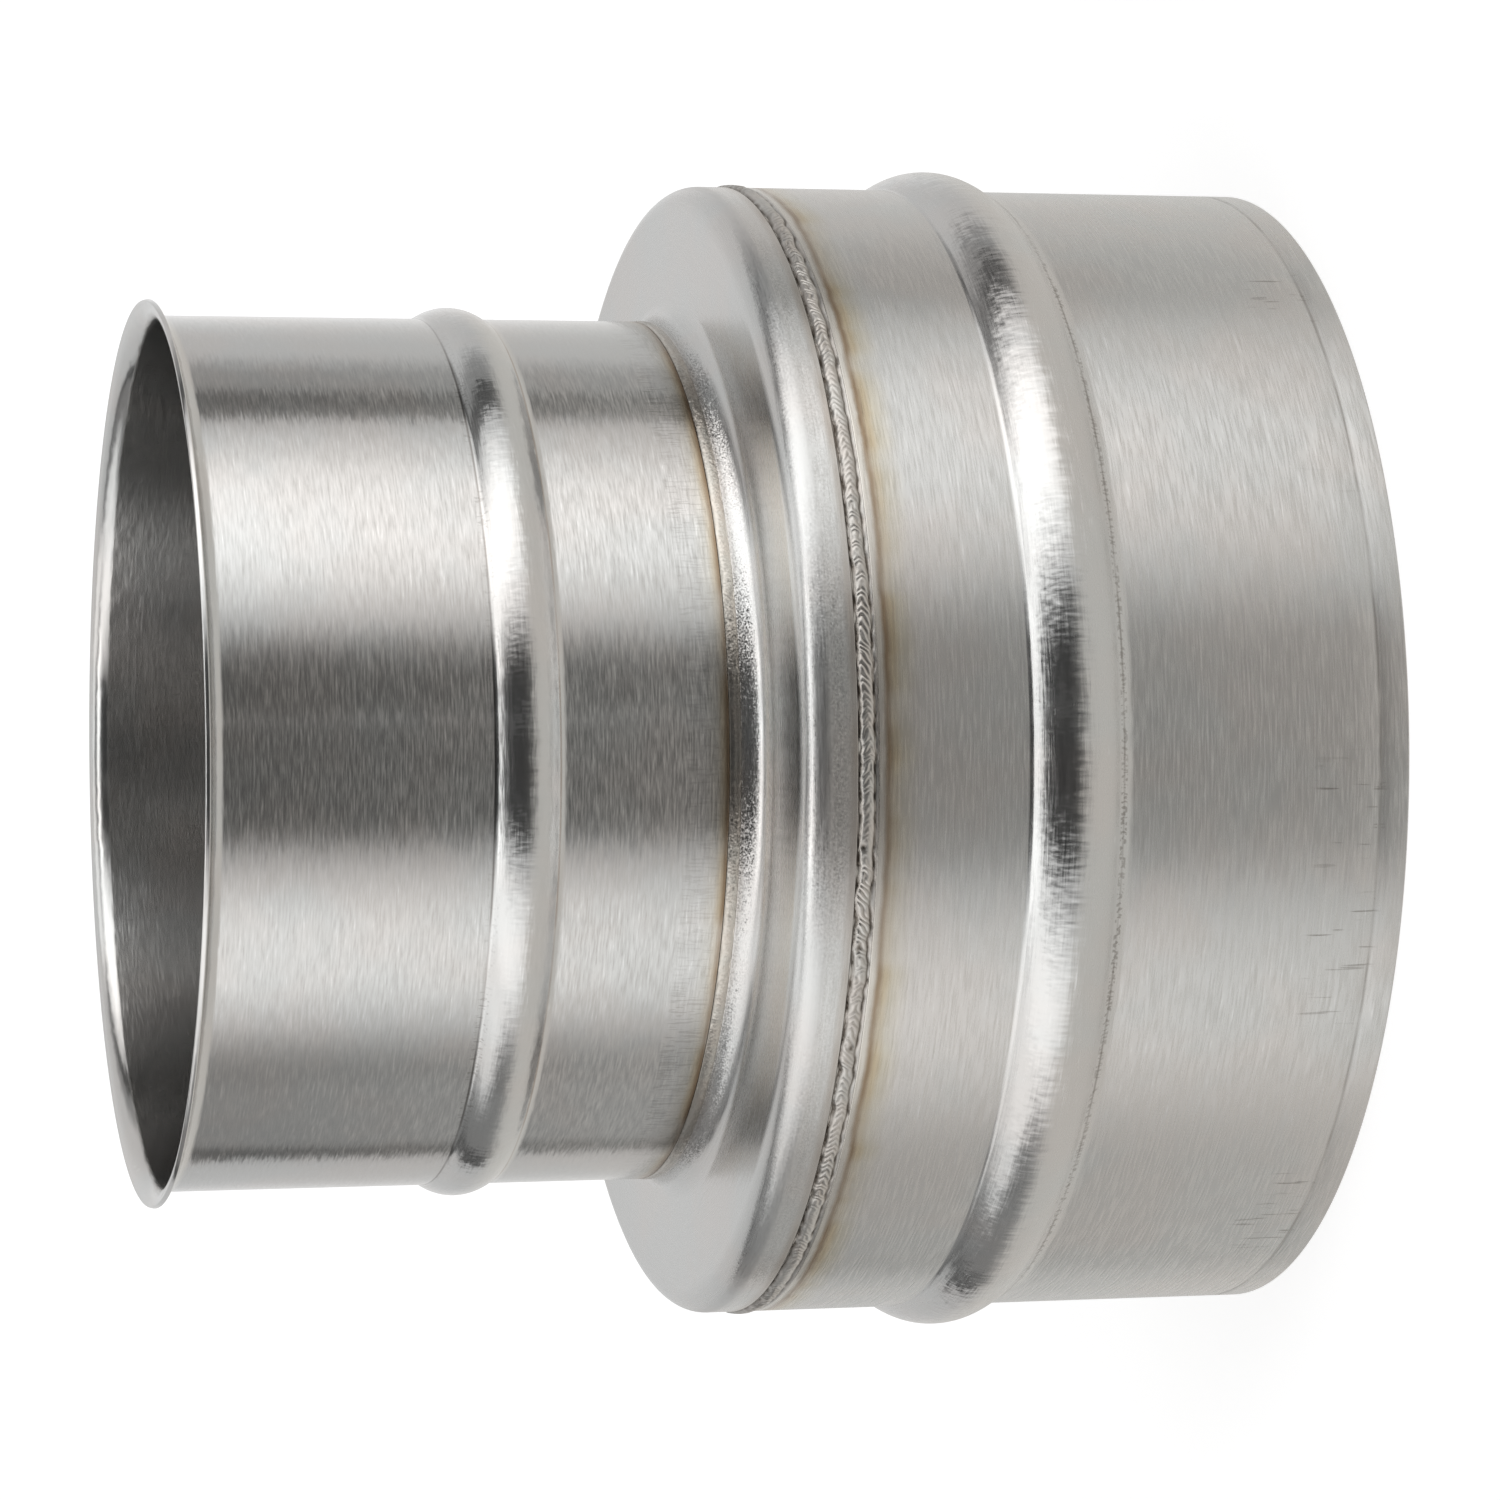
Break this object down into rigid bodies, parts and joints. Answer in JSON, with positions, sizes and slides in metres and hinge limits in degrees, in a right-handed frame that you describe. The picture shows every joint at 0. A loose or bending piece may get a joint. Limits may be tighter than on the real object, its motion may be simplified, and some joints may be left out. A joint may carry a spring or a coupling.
{
  "type": "flue transition adapter",
  "caption": "Stepped round sheet-steel adapter that joins a narrow flue spigot with a rolled lip to a wide beaded collar across a welded, flat shoulder.",
  "frame": {"origin": "on the duct's axis, in the plane of the collar's open end, which the part stands on", "axes": "+Z along the duct's axis, from the collar's open end to the spigot's lip; X and Y across the duct"},
  "size_m": [0.1358, 0.1358, 0.1288],
  "materials": {
    "brushed_stainless": "brushed round the axis, satin",
    "weld_metal": "rippled weld bead with a straw-brown heat tint"
  },
  "bodies": {
    "root": {"collar_tube": "brushed_stainless", "shoulder_ring": "brushed_stainless", "spigot_tube": "brushed_stainless", "collar_weld": "weld_metal", "neck_weld": "weld_metal"}
  },
  "joints": []
}
